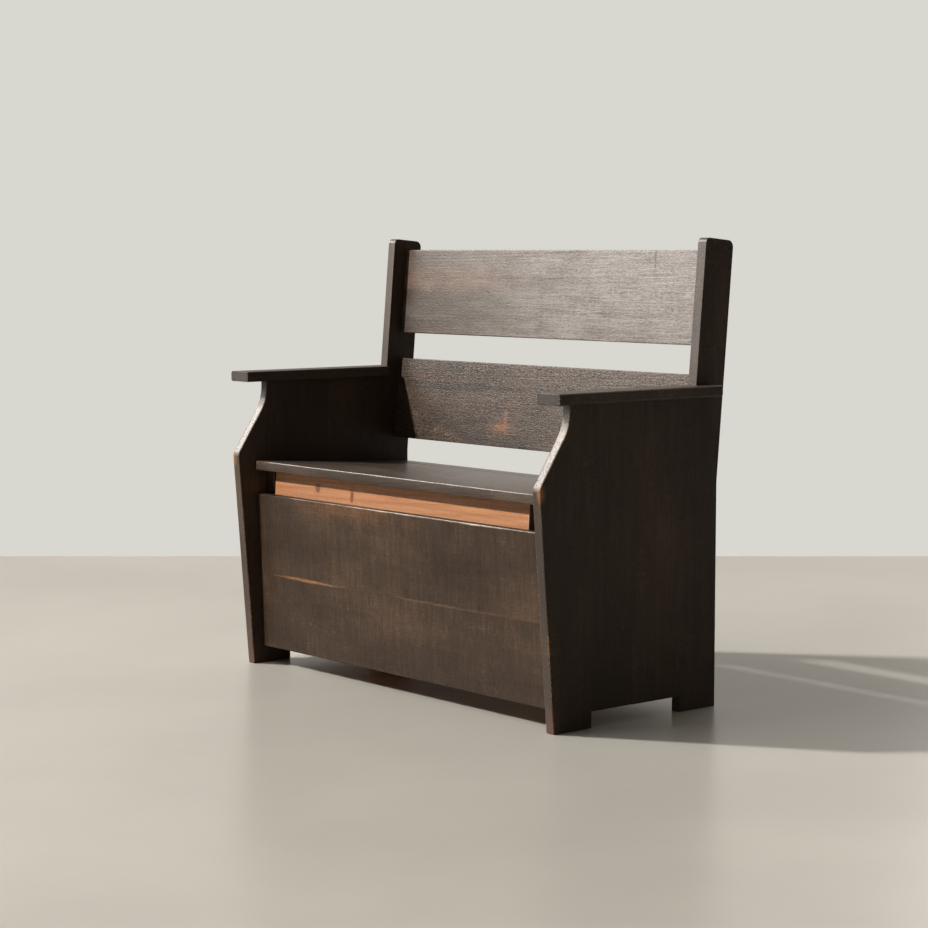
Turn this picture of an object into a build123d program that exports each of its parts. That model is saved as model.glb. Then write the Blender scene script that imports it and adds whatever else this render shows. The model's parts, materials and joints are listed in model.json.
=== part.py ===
"""Deacons bench: boarded ends with leaning posts, two back slats and a lift-up seat over a chest.

Millimetres. X runs along the bench, Y from front to back, Z up. While the pieces are made, Y is zero
at the front foot. Before they are written they move so that the origin lies under the middle.
"""

from build123d import *
from math import acos, atan2, cos, hypot, radians, sin, tan
import os

# End panels
bench_width = 1000.0          # outer face to outer face of the two ends
end_thickness = 22.0
foot_depth = 434.0            # front of the front foot to back of the rear foot
foot_width = 98.0             # each foot, front to back
foot_cut_height = 32.0        # arch between the feet
nose_reach = 37.5             # how far the corner at seat height leans forward of the foot
nose_rise = 16.0              # that corner, above the front edge of the seat
nose_round = 22.0
hollow_setback = 39.0         # upright edge under the arm, behind the front of the foot
hollow_radius = 100.0
hollow_upright = 11.0         # straight stretch between the hollow and the arm
seam_depth = 205.0            # glue joint between the front and the rear board
spline_thickness = 6.0
spline_width = 24.0

# Back posts, the upper part of the rear boards, which lean from the height of the seat
lean_angle = 5.0
post_depth = 77.0
post_rise = 25.0              # above the upper slat
post_round_front = 10.0
post_round_back = 14.0

# Arms
arm_rise = 172.0              # front edge of the seat to the underside of the arms
arm_thickness = 22.0
arm_front = -18.0
arm_outer_overhang = 32.0
arm_inner_overhang = 9.0
arm_past_post = 45.0          # length of the wing that runs along the outside of the post
arm_outer_round = 5.0
arm_inner_round = 2.0
arm_dowel_radius = 5.0
arm_dowel_length = 32.0
arm_dowel_in_arm = 13.0
arm_dowel_front = 36.0        # first dowel, behind the hollow
arm_dowel_seam = 40.0         # second dowel, in front of the glue joint

# Back slats
slat_thickness = 20.0
slat_inset = 36.0             # front of the post to front of the slat
slat_round = 2.0
lower_slat_rise = 31.0        # above the front edge of the seat
lower_slat_height = 181.0
slat_gap = 58.0
upper_slat_height = 188.0
tenon_length = 12.0
tenon_thickness = 11.0
tenon_shoulder = 18.0         # above and below each tenon

# Front panel, two boards
finger_gap = 53.4             # underside of the seat to the top of the panel
front_panel_bottom = 38.7
front_panel_face = 8.5        # depth of its face at the top edge
front_panel_lean = 2.45
front_panel_thickness = 19.0
front_lower_board_width = 164.4
front_panel_round = 1.5

# Tongue-and-groove seams
tongue_thickness = 6.0
tongue_length = 8.0

# Seat
seat_height = 450.0           # top of the front edge
seat_front = 2.0
seat_slope = 3.4
seat_thickness = 20.0
seat_round = 2.5
rear_rail_width = 61.6        # fixed rail behind the hinge seam
lid_board_depth = 185.0       # front one of its two boards
lid_arm_clearance = 2.0       # between each end of the lid and the arm above it
seam_gap = 2.0
seam_chamfer = 3.5

# Apron and battens under the lid
apron_setback = 40.0          # from the lid's front edge
apron_thickness = 19.0
apron_height = 72.0
apron_left_gap = 10.0         # between its left end and the bearer there
apron_right_gap = 73.0        # the same on the right, where the board stops short
apron_housing = 5.0           # depth of its groove in the lid
batten_thickness = 19.0
batten_width = 45.0
batten_end_margin = 232.0     # from the end of the lid to the middle of the batten
batten_apron_gap = 12.0
batten_back_margin = 26.0

# Bearers, cleats, chest back and chest floor
cleat_width = 20.0
bearer_lift = 3.0             # front end of the bearers' lower edge, above the front panel
bearer_front = 42.0
back_board_thickness = 18.0
back_board_recess = 4.0
back_board_bottom = 44.0
back_lower_board_width = 182.0
front_cleat_drop = 10.6       # below the top of the front panel
floor_bottom = 64.0
floor_thickness = 15.0
floor_bearer_height = 20.0
floor_board_count = 3
floor_board_gap = 2.0
floor_edge_gap = 0.8

# Hinges
hinge_end_margin = 137.0      # from the end of the lid to the middle of the outer hinges
hinge_length = 64.0
hinge_barrel_radius = 3.0
hinge_pin_radius = 1.5
hinge_leaf_thickness = 1.6
hinge_leaf_height = 13.0
hinge_knuckle_gap = 0.4
hinge_screw_spread = 20.0
hinge_screw_drop = 9.5        # below the pin
hinge_screw_length = 16.0

# Screws
screw_radius = 1.7
screw_head_radius = 3.4
screw_head_height = 1.5
screw_sides = 12              # flats round each screw and its hole, in place of a circle
batten_screw_length = 30.0
batten_screw_margin = 30.0
batten_screw_count = 3

# Fits
glue_clearance = 0.15         # around tenons, tongues, splines and the apron's housing
pin_clearance = 0.06          # round the hinge pins, dowels and screws
pocket_depth_clearance = 1.0  # at the blind ends of mortises, grooves and holes
barrel_clearance = 0.4        # round the hinge barrel in the wood

# Values that follow from the sizes above
outer = bench_width / 2
inner = outer - end_thickness
lean = tan(radians(lean_angle))
lean_up = (sin(radians(lean_angle)), cos(radians(lean_angle)))
lean_back = (lean_up[1], -lean_up[0])
slope_back = (cos(radians(seat_slope)), -sin(radians(seat_slope)))
slope_down = (slope_back[1], -slope_back[0])
arm_inner = inner - arm_inner_overhang
arm_outer = outer + arm_outer_overhang
lid_half = arm_inner - lid_arm_clearance
end_height = seat_height + arm_rise
nose_height = seat_height + nose_rise
hollow_top = end_height - hollow_upright
bend_height = seat_height
lower_slat_bottom = seat_height + lower_slat_rise
lower_slat_top = lower_slat_bottom + lower_slat_height
upper_slat_bottom = lower_slat_top + slat_gap
upper_slat_top = upper_slat_bottom + upper_slat_height
post_height = upper_slat_top + post_rise
front_panel_top = seat_height - seat_thickness - finger_gap
front_cleat_top = front_panel_top - front_cleat_drop
seat_run = (foot_depth - seat_front) / cos(radians(seat_slope))
lid_depth = seat_run - rear_rail_width - seam_gap
seam_middle = lid_depth + seam_gap / 2
apron_left = -(inner - cleat_width - apron_left_gap)
apron_right = inner - cleat_width - apron_right_gap
batten_spread = lid_half - batten_end_margin
hinge_spread = lid_half - hinge_end_margin
hinge_places = {"left": -hinge_spread, "centre": 0.0, "right": hinge_spread}
floor_top = floor_bottom + floor_thickness
chest_back_front = foot_depth - back_board_recess - back_board_thickness


def back_line(height):
    """Depth of the back edge of the ends at a height."""
    return foot_depth + lean * max(0.0, height - bend_height)


def post_front(height):
    """Depth of the front edge of the posts at a height."""
    return back_line(height) - post_depth


def along(start, *steps):
    """Point reached from start by (direction, distance) steps."""
    y, z = start
    for (step_y, step_z), distance in steps:
        y += step_y * distance
        z += step_z * distance
    return (y, z)


def seat_point(run, drop=0.0):
    """Side-view point of the seat: run along its slope from the front edge, drop below its top."""
    return along((seat_front, seat_height), (slope_back, run), (slope_down, drop))


def seat_underside(depth):
    """Height of the seat's underside at a depth."""
    fall = (depth - seat_front) * tan(radians(seat_slope))
    return seat_height - fall - seat_thickness / cos(radians(seat_slope))


bearer_height = seat_underside(bearer_front) - front_panel_top - bearer_lift
arm_dowel_depths = (
    hollow_setback + arm_dowel_front,
    seam_depth - arm_dowel_seam,
    (seam_depth + post_front(end_height)) / 2,
)


def bearer_underside(depth):
    """Height of the seat bearers' lower edge at a depth."""
    return seat_underside(depth) - bearer_height


def side_profile(*points):
    """Side-view face from (depth, height) points."""
    return Polygon(*points, align=None)


def slab(profile, low, high):
    """Side-view profile carried along X from low to high."""
    return extrude(Plane.YZ.offset(low) * profile, high - low, dir=(1, 0, 0))


def rounded(profile, radius, *corners):
    """Profile with the corners nearest to the given points rounded."""
    picked = [profile.vertices().sort_by_distance((y, z, 0))[0] for y, z in corners]
    return fillet(picked, radius)


def strip(start, run_direction, run, thick_direction, thickness):
    """Corners of a rectangle that starts at a point and follows two directions."""
    return (
        start,
        along(start, (run_direction, run)),
        along(start, (run_direction, run), (thick_direction, thickness)),
        along(start, (thick_direction, thickness)),
    )


def tongue(seam, run_direction, thick_direction, thickness, clearance=0.0):
    """Tongue profile that stands on a seam, or its groove when there is a clearance."""
    inset = (thickness - tongue_thickness) / 2 - clearance
    length = tongue_length + (pocket_depth_clearance if clearance else 0.0)
    base = along(seam, (thick_direction, inset))
    width = tongue_thickness + 2 * clearance
    return side_profile(*strip(base, run_direction, length, thick_direction, width))


def tongued_pair(start, seam_run, end_run, run_direction, thick_direction, thickness, low, high):
    """Two boards edge to edge: the first has the tongue, the second the groove."""
    seam = along(start, (run_direction, seam_run))
    first = strip(start, run_direction, seam_run, thick_direction, thickness)
    second = strip(seam, run_direction, end_run - seam_run, thick_direction, thickness)
    seam_sides = (run_direction, thick_direction, thickness)
    first_board = slab(side_profile(*first) + tongue(seam, *seam_sides), low, high)
    second_board = slab(side_profile(*second) - tongue(seam, *seam_sides, glue_clearance), low, high)
    return first_board, second_board


def group(shapes):
    """Separate solids kept together as one piece."""
    return Compound([solid for shape in shapes for solid in shape.solids()])


def countersunk_screw(length, clearance=0.0):
    """Screw along +Z with the face of its head at the origin, or its hole when there is a clearance."""
    over = pocket_depth_clearance if clearance else 0.0
    head_face = RegularPolygon(screw_head_radius + clearance, screw_sides)
    shank_face = RegularPolygon(screw_radius + clearance, screw_sides)
    head = loft([head_face, Pos(0, 0, screw_head_height) * shank_face], ruled=True)
    return head + extrude(shank_face, length + over)


def both_sides(right_piece):
    """The right-hand piece and its mirror image."""
    return {"right": right_piece, "left": mirror(right_piece, Plane.YZ)}


# End panels
def end_outline():
    """Side view of a whole end, with feet, nose, hollow and leaning post."""
    hollow_centre = (hollow_setback - hollow_radius, hollow_top)
    nose = (-nose_reach, nose_height)
    to_nose = (nose[0] - hollow_centre[0], nose[1] - hollow_centre[1])
    touch_angle = atan2(to_nose[1], to_nose[0]) + acos(hollow_radius / hypot(*to_nose))
    half_angle = touch_angle / 2
    hollow_start = along(hollow_centre, ((cos(touch_angle), sin(touch_angle)), hollow_radius))
    hollow_middle = along(hollow_centre, ((cos(half_angle), sin(half_angle)), hollow_radius))
    post_top_front = (post_front(post_height), post_height)
    post_top_back = along(post_top_front, (lean_back, post_depth * cos(radians(lean_angle))))
    hollow = ThreePointArc(hollow_start, hollow_middle, (hollow_setback, hollow_top))
    edges = Polyline(
        (hollow_setback, hollow_top),
        (hollow_setback, end_height),
        (post_front(end_height), end_height),
        post_top_front,
        post_top_back,
        (foot_depth, bend_height),
        (foot_depth, 0),
        (foot_depth - foot_width, 0),
        (foot_depth - foot_width, foot_cut_height),
        (foot_width, foot_cut_height),
        (foot_width, 0),
        (0, 0),
        nose,
        hollow_start,
    )
    profile = make_face(hollow + edges)
    profile = rounded(profile, nose_round, nose)
    profile = rounded(profile, post_round_front, post_top_front)
    return rounded(profile, post_round_back, post_top_back)


def slat_tenon(bottom, top, clearance=0.0):
    """Side view of a slat's tenon, or of its mortise when there is a clearance."""
    foot = (post_front(bottom) + slat_inset, bottom)
    inset = (slat_thickness - tenon_thickness) / 2 - clearance
    rise = tenon_shoulder - clearance
    height = (top - bottom) / cos(radians(lean_angle)) - 2 * rise
    corner = along(foot, (lean_up, rise), (lean_back, inset))
    return side_profile(*strip(corner, lean_up, height, lean_back, tenon_thickness + 2 * clearance))


def arm_dowel(depth, clearance=0.0):
    """Upright dowel between the right end and its arm, or its hole when there is a clearance."""
    over = pocket_depth_clearance if clearance else 0.0
    low = end_height - (arm_dowel_length - arm_dowel_in_arm) - over
    length = arm_dowel_length + 2 * over
    return Pos((outer + inner) / 2, depth, low) * Cylinder(
        arm_dowel_radius + clearance, length, align=(Align.CENTER, Align.CENTER, Align.MIN)
    )


slats = {
    "upper_back_slat": (upper_slat_bottom, upper_slat_top),
    "lower_back_slat": (lower_slat_bottom, lower_slat_top),
}
arm_dowel_holes = [arm_dowel(depth, pin_clearance) for depth in arm_dowel_depths]


def end_boards():
    """Front board, rear board and spline of the right end."""
    panel = slab(end_outline(), inner, outer)
    for bottom, top in slats.values():
        depth = tenon_length + pocket_depth_clearance
        panel -= slab(slat_tenon(bottom, top, glue_clearance), inner, inner + depth)
    for hole in arm_dowel_holes:
        panel -= hole
    middle = (outer + inner) / 2
    groove_half = spline_thickness / 2 + glue_clearance
    groove_reach = spline_width / 2 + pocket_depth_clearance
    groove = side_profile(
        (seam_depth - groove_reach, foot_cut_height),
        (seam_depth + groove_reach, foot_cut_height),
        (seam_depth + groove_reach, end_height),
        (seam_depth - groove_reach, end_height),
    )
    panel -= slab(groove, middle - groove_half, middle + groove_half)
    seam = Plane.XZ.offset(-seam_depth)
    front_board = split(panel, seam, keep=Keep.TOP)
    rear_board = split(panel, seam, keep=Keep.BOTTOM)
    spline = Pos(middle, seam_depth, (foot_cut_height + end_height) / 2) * Box(
        spline_thickness, spline_width, end_height - foot_cut_height
    )
    return front_board, rear_board, spline


def arm():
    """Right arm: a board with rounded outer edges, notched round the post."""
    back = post_front(end_height) + arm_past_post
    board = Pos((arm_inner + arm_outer) / 2, (arm_front + back) / 2, end_height + arm_thickness / 2) * Box(
        arm_outer - arm_inner, back - arm_front, arm_thickness
    )
    long_edges = board.edges().filter_by(Axis.Y).group_by(Axis.X)
    board = fillet(long_edges[-1], arm_outer_round)
    board = fillet(board.edges().filter_by(Axis.Y).group_by(Axis.X)[0], arm_inner_round)
    arm_top = end_height + arm_thickness
    notch = side_profile(
        (post_front(end_height), end_height),
        (back, end_height),
        (back, arm_top),
        (post_front(arm_top), arm_top),
    )
    board -= slab(notch, arm_inner, outer)
    for hole in arm_dowel_holes:
        board -= hole
    return board


# Back slats
def back_slat(bottom, top):
    """Slat with stub tenons, lying in the lean of the posts."""
    foot = (post_front(bottom) + slat_inset, bottom)
    height = (top - bottom) / cos(radians(lean_angle))
    corners = strip(foot, lean_up, height, lean_back, slat_thickness)
    profile = side_profile(*corners)
    profile = fillet(profile.vertices(), slat_round)
    reach = inner + tenon_length
    return slab(profile, -inner, inner) + slab(slat_tenon(bottom, top), -reach, reach)


# Front panel
panel_up = (-sin(radians(front_panel_lean)), cos(radians(front_panel_lean)))
panel_back = (panel_up[1], -panel_up[0])


def panel_run(height):
    """Distance along the leaning front panel from its top edge down to a height."""
    return (front_panel_top - height) / cos(radians(front_panel_lean))


panel_foot = along((front_panel_face, front_panel_top), (panel_up, -panel_run(front_panel_bottom)))


def panel_rear_depth(height):
    """Depth of the front panel's rear face at a height."""
    face = front_panel_face + (front_panel_top - height) * tan(radians(front_panel_lean))
    return face + front_panel_thickness / cos(radians(front_panel_lean))


def front_panel_boards():
    """Lower and upper board of the front panel, the upper one with an eased top edge."""
    whole = panel_run(front_panel_bottom)
    lower, upper = tongued_pair(
        panel_foot, front_lower_board_width, whole,
        panel_up, panel_back, front_panel_thickness, -inner, inner,
    )
    top_edges = upper.edges().filter_by(Axis.X).group_by(Axis.Z)[-2:]
    upper = fillet([edge for group in top_edges for edge in group], front_panel_round)
    return lower, upper


def front_cleat():
    """Right upright cleat behind the front panel, standing on the chest floor."""
    foot = (panel_rear_depth(floor_top), floor_top)
    head = (panel_rear_depth(front_cleat_top), front_cleat_top)
    profile = side_profile(foot, head, (head[0] + cleat_width, head[1]), (foot[0] + cleat_width, foot[1]))
    return slab(profile, inner - cleat_width, inner)


def rear_cleat():
    """Right upright cleat in front of the chest back, between the chest floor and the bearer."""
    front = chest_back_front - cleat_width
    profile = side_profile(
        (front, floor_top),
        (front, bearer_underside(front)),
        (chest_back_front, bearer_underside(chest_back_front)),
        (chest_back_front, floor_top),
    )
    return slab(profile, inner - cleat_width, inner)


def seat_bearer():
    """Right sloping bearer that carries the ends of the lid and of the rear rail."""
    profile = side_profile(
        (bearer_front, bearer_underside(bearer_front)),
        (bearer_front, seat_underside(bearer_front)),
        (chest_back_front, seat_underside(chest_back_front)),
        (chest_back_front, bearer_underside(chest_back_front)),
    )
    return slab(profile, inner - cleat_width, inner)


# Chest back and floor
def chest_back_boards():
    """Lower and upper board of the chest back; the upper one is bevelled under the rear rail."""
    start = (chest_back_front, back_board_bottom)
    whole = seat_underside(chest_back_front) - back_board_bottom
    lower, upper = tongued_pair(
        start, back_lower_board_width, whole,
        (0, 1), (1, 0), back_board_thickness, -inner, inner,
    )
    rear = chest_back_front + back_board_thickness
    bevel = side_profile(
        (chest_back_front, seat_underside(chest_back_front)),
        (rear, seat_underside(rear)),
        (rear, seat_height),
        (chest_back_front, seat_height),
    )
    return lower, upper - slab(bevel, -inner, inner)


floor_front = panel_rear_depth(floor_bottom) + floor_edge_gap
floor_back = chest_back_front - floor_edge_gap


def floor_boards():
    """Boards of the chest floor, front to back."""
    room = floor_back - floor_front - (floor_board_count - 1) * floor_board_gap
    width = room / floor_board_count
    boards = []
    for index in range(floor_board_count):
        corner = (floor_front + index * (width + floor_board_gap), floor_bottom)
        profile = side_profile(*strip(corner, (1, 0), width, (0, 1), floor_thickness))
        boards.append(slab(profile, -inner, inner))
    return boards


def floor_bearer(low, high):
    """Bearer under the chest floor between two X places."""
    corner = (panel_rear_depth(floor_bottom - floor_bearer_height), floor_bottom - floor_bearer_height)
    length = chest_back_front - corner[0]
    return slab(side_profile(*strip(corner, (1, 0), length, (0, 1), floor_bearer_height)), low, high)


# Hinges, made flat about the pin with the rail towards +Y, then laid in the slope of the seat
hinge_y, hinge_z = seat_point(seam_middle, hinge_barrel_radius)
seat_frame = Pos(0, hinge_y, hinge_z) * Rot(-seat_slope, 0, 0)
knuckle_length = hinge_length / 3
leaf_top = -(hinge_barrel_radius + barrel_clearance)
leaf_face = seam_gap / 2


def rod(radius, length):
    """Cylinder along X about the pin's axis."""
    return Rot(0, 90, 0) * Cylinder(radius, length)


def knuckle(place, is_middle):
    """One knuckle with the tab that joins it to the leaf on the rail's side."""
    half = knuckle_length / 2 - (hinge_knuckle_gap if is_middle else 0.0)
    tab = side_profile(*strip((leaf_face, leaf_top), (0, 1), -leaf_top, (1, 0), hinge_leaf_thickness))
    ring = Circle(hinge_barrel_radius) + tab - Circle(hinge_pin_radius + pin_clearance)
    return slab(ring, place - half, place + half)


def hinge_screw(clearance=0.0):
    """Screw along +Y with its head flush at the leaf's face, or its hole."""
    return Rot(-90, 0, 0) * countersunk_screw(hinge_screw_length, clearance)


def hinge_screw_places(middle):
    """Places of one leaf's screws on the rail's side."""
    return [Pos(middle + side * hinge_screw_spread, leaf_face, -hinge_screw_drop) for side in (-1, 1)]


def rail_leaf(middle):
    """Leaf of the rail's side, with the two outer knuckles."""
    plate = Pos(middle, leaf_face + hinge_leaf_thickness / 2, leaf_top - hinge_leaf_height / 2) * Box(
        hinge_length, hinge_leaf_thickness, hinge_leaf_height
    )
    for side in (-1, 1):
        plate += knuckle(middle + side * knuckle_length, False)
    for place in hinge_screw_places(middle):
        plate -= place * hinge_screw(pin_clearance)
    return plate


def lid_leaf(middle):
    """Leaf of the lid's side, with the middle knuckle."""
    plate = Pos(middle, leaf_face + hinge_leaf_thickness / 2, leaf_top - hinge_leaf_height / 2) * Box(
        hinge_length, hinge_leaf_thickness, hinge_leaf_height
    )
    plate += knuckle(middle, True)
    for place in hinge_screw_places(middle):
        plate -= place * hinge_screw(pin_clearance)
    return mirror(plate, Plane.XZ)


def hinge_seat(middle):
    """Room for one hinge in the edge on the rail's side: barrel groove, leaf recess and screw holes."""
    recess_height = hinge_leaf_height - leaf_top
    recess = Pos(middle, leaf_face + hinge_leaf_thickness / 2, -recess_height / 2) * Box(
        hinge_length, hinge_leaf_thickness, recess_height
    )
    room = Pos(middle, 0, 0) * rod(hinge_barrel_radius + barrel_clearance, hinge_length) + recess
    for place in hinge_screw_places(middle):
        room += place * hinge_screw(pin_clearance)
    return room


def hinge_screws():
    """All screws of the leaves on the rail's side."""
    return [place * hinge_screw() for middle in hinge_places.values() for place in hinge_screw_places(middle)]


# Seat
def seam_edge_cut(run, direction):
    """Chamfer of the seam's top arris, at a run along the seat, towards the board's inside."""
    inward = (slope_back[0] * direction, slope_back[1] * direction)
    arris = seat_point(run)
    return side_profile(arris, along(arris, (inward, seam_chamfer)), along(arris, (slope_down, seam_chamfer)))


def rear_rail():
    """Fixed rail behind the lid, with the seats of the hinges in its front edge."""
    start_run = lid_depth + seam_gap
    start = seat_point(start_run)
    profile = side_profile(*strip(start, slope_back, rear_rail_width, slope_down, seat_thickness))
    rail = slab(profile - seam_edge_cut(start_run, 1), -inner, inner)
    for middle in hinge_places.values():
        rail -= seat_frame * hinge_seat(middle)
    return rail


def apron_profile(top_drop, clearance=0.0):
    """Side view of the apron from a drop below the seat's top, or of its housing."""
    start = seat_point(apron_setback - clearance, top_drop)
    bottom_drop = seat_thickness + apron_height
    return side_profile(
        *strip(start, slope_down, bottom_drop - top_drop, slope_back, apron_thickness + 2 * clearance)
    )


apron_top_drop = seat_thickness - apron_housing
batten_start = apron_setback + apron_thickness + batten_apron_gap
batten_end = lid_depth - batten_back_margin


def lid_apron():
    """Unfinished board that hangs behind the finger gap, housed in the lid."""
    return slab(apron_profile(apron_top_drop), apron_left, apron_right)


def lid_batten():
    """Right batten under the lid."""
    start = seat_point(batten_start, seat_thickness)
    profile = side_profile(*strip(start, slope_back, batten_end - batten_start, slope_down, batten_thickness))
    return slab(profile, batten_spread - batten_width / 2, batten_spread + batten_width / 2)


def batten_screws(clearance=0.0):
    """Screws that hold both battens to the lid, driven from below, or their holes."""
    first = batten_start + batten_screw_margin
    step = (batten_end - batten_screw_margin - first) / (batten_screw_count - 1)
    screw = Rot(-seat_slope, 0, 0) * countersunk_screw(batten_screw_length, clearance)
    places = []
    for side in (-1, 1):
        for index in range(batten_screw_count):
            y, z = seat_point(first + index * step, seat_thickness + batten_thickness)
            places.append(Pos(side * batten_spread, y, z) * screw)
    return places


def lid_boards():
    """Front and rear board of the lid, with all that is let into them."""
    front, rear = tongued_pair(
        seat_point(0), lid_board_depth, lid_depth, slope_back, slope_down, seat_thickness, -lid_half, lid_half
    )
    front_edges = front.edges().filter_by(Axis.X).sort_by(Axis.Y)[:2]
    front = fillet(front_edges, seat_round)
    housing = apron_profile(apron_top_drop - pocket_depth_clearance, glue_clearance)
    front -= slab(housing, apron_left - glue_clearance, apron_right + glue_clearance)
    rear -= slab(seam_edge_cut(lid_depth, -1), -lid_half, lid_half)
    for middle in hinge_places.values():
        rear -= seat_frame * mirror(hinge_seat(middle), Plane.XZ)
    for hole in batten_screws(pin_clearance):
        front -= hole
        rear -= hole
    return front, rear


# Gather the pieces under their names
pieces = {}

right_front_board, right_rear_board, right_spline = end_boards()
paired = {
    "end_front_board": right_front_board,
    "end_rear_board": right_rear_board,
    "end_spline": right_spline,
    "arm": arm(),
    "arm_dowels": group(arm_dowel(depth) for depth in arm_dowel_depths),
    "front_cleat": front_cleat(),
    "rear_cleat": rear_cleat(),
    "seat_bearer": seat_bearer(),
    "floor_bearer": floor_bearer(inner - cleat_width, inner),
}
for name, right_piece in paired.items():
    for side, piece in both_sides(right_piece).items():
        pieces[f"{side}_{name}"] = piece

for name, (bottom, top) in slats.items():
    pieces[name] = back_slat(bottom, top)

pieces["front_panel_lower_board"], pieces["front_panel_upper_board"] = front_panel_boards()
pieces["chest_back_lower_board"], pieces["chest_back_upper_board"] = chest_back_boards()
for number, piece in enumerate(floor_boards(), start=1):
    pieces[f"chest_floor_board_{number}"] = piece
pieces["floor_centre_bearer"] = floor_bearer(-cleat_width / 2, cleat_width / 2)

pieces["seat_rear_rail"] = rear_rail()
pieces["lid_front_board"], pieces["lid_rear_board"] = lid_boards()
pieces["lid_apron"] = lid_apron()
batten_holes = batten_screws(pin_clearance)
for side, piece in both_sides(lid_batten()).items():
    for hole in batten_holes:
        piece -= hole
    pieces[f"{side}_lid_batten"] = piece
pieces["lid_batten_screws"] = group(batten_screws())

for side, middle in hinge_places.items():
    pieces[f"{side}_hinge_rail_leaf"] = seat_frame * rail_leaf(middle)
    pieces[f"{side}_hinge_lid_leaf"] = seat_frame * lid_leaf(middle)
    pieces[f"{side}_hinge_pin"] = seat_frame * Pos(middle, 0, 0) * rod(hinge_pin_radius, hinge_length)
pieces["hinge_rail_screws"] = group(seat_frame * screw for screw in hinge_screws())
pieces["hinge_lid_screws"] = group(seat_frame * mirror(screw, Plane.XZ) for screw in hinge_screws())

# Move the origin under the middle of the bench and write each piece
depths = [(piece.bounding_box().min.Y, piece.bounding_box().max.Y) for piece in pieces.values()]
middle_depth = (min(low for low, high in depths) + max(high for low, high in depths)) / 2
to_origin = Pos(0, -middle_depth, 0)

os.makedirs("parts", exist_ok=True)
for name, piece in pieces.items():
    export_step(to_origin * piece, f"parts/{name}.step")

print(f"{len(pieces)} pieces, middle depth {middle_depth:.3f}")
print(f"hinge pin at depth {hinge_y - middle_depth:.3f}, height {hinge_z:.3f}")
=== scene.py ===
"""Deacons bench in dark stained pine: the finish of every board, the steel of the hinges, and a plain studio."""

import json
from math import pi, radians

import bmesh
import bpy
from mathutils import Euler, Matrix, Vector


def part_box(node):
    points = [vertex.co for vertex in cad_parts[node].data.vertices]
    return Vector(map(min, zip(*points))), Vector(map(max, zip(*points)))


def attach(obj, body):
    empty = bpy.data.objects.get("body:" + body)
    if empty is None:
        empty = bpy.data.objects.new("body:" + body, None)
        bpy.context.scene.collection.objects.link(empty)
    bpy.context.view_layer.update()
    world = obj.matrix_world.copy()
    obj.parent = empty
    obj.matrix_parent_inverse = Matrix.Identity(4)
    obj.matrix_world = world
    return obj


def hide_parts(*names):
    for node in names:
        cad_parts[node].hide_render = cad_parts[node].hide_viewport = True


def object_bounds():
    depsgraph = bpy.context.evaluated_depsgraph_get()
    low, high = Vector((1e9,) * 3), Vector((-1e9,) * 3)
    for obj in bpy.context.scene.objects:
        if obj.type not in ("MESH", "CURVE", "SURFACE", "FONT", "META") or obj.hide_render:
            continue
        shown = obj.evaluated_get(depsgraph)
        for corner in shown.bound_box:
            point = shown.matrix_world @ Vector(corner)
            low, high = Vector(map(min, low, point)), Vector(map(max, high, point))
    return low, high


bl_info = {
    "name": "Deacons Bench",
    "version": (1, 0, 0),
    "blender": (4, 5, 0),
    "location": "3D View > Sidebar > Bench",
    "description": "Dresses the packed deacons bench in worn, dark stained pine and sets it in a studio",
    "category": "Object",
}

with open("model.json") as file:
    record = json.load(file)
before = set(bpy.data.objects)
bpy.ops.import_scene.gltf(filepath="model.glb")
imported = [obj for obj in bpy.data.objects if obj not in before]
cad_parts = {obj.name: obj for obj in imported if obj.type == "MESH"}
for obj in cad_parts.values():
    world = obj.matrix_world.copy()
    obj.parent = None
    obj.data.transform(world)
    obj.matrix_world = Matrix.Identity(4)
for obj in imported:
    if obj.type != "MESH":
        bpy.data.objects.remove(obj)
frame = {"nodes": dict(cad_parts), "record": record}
cad_low, cad_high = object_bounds()

BODY_OF = {node: body for body, nodes in frame["record"]["behaviour"]["bodies"].items() for node in nodes}
SIDES = ("left", "right")
X, Y, Z = range(3)
GRAIN_TURN = {"X": (0, 0, 0), "Y": (0, 0, -pi / 2), "Z": (0, pi / 2, 0)}
GRAIN_WAY = {"X": (1, 0, 0), "Y": (0, 1, 0), "Z": (0, 0, 1)}
HINGE_PLACES = ("left", "centre", "right")

# How boards are eased
MERGE_DISTANCE = 0.00001    # between points of a node's loose triangles
FLAT_TURN = radians(0.5)    # between faces of one plane, at most
ARRIS_TURN = radians(40)    # between the two faces of an arris, at least
SHARP_TURN = radians(20)    # past which the shading breaks
PLANE_REACH = 0.00001       # from the plane of a joint
JOINT_MARGIN = 0.001        # round the pieces of a joint
BROAD_FACE = 3.0            # widths of the ease, past which a face gets a worn margin
WORN_MARGIN = 0.8           # widths of the ease that such a margin takes

# How wood and light lie
STAIN_RELIEF = 0.0012       # height of the grain of stained pine
FRESH_RELIEF = 0.0008       # height of the grain of unfinished pine
FRESH_RINGS = 1.5           # ring width of unfinished pine, to that of stained pine
UPWARD = (0.0, 0.0, 1.0)
# Direction whose faces get the painted highlight of the end panels' front edges
SLOPING_FRONT = (0.0, -0.87, 0.5)   # that the hollow under an arm faces
BRIGHT_SIDE = Vector((-0.75, -0.35, 0.55)).normalized()     # of the studio
BRIGHT_REACH = 0.7          # cosine towards the bright side at which its light is full


def colour(name, text, value):
    """Colour property of a finish."""
    return bpy.props.FloatVectorProperty(
        name=name, description=text, subtype="COLOR", size=3, min=0, max=1, default=value
    )


def length(name, text, value):
    """Length property, in metres."""
    return bpy.props.FloatProperty(name=name, description=text, unit="LENGTH", precision=4, default=value)


def share(name, text, value):
    """Property between nothing and all."""
    return bpy.props.FloatProperty(name=name, description=text, subtype="FACTOR", min=0, max=1, default=value)


def angle(name, text, value):
    """Angle property, given in degrees."""
    return bpy.props.FloatProperty(name=name, description=text, subtype="ANGLE", default=radians(value))


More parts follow.
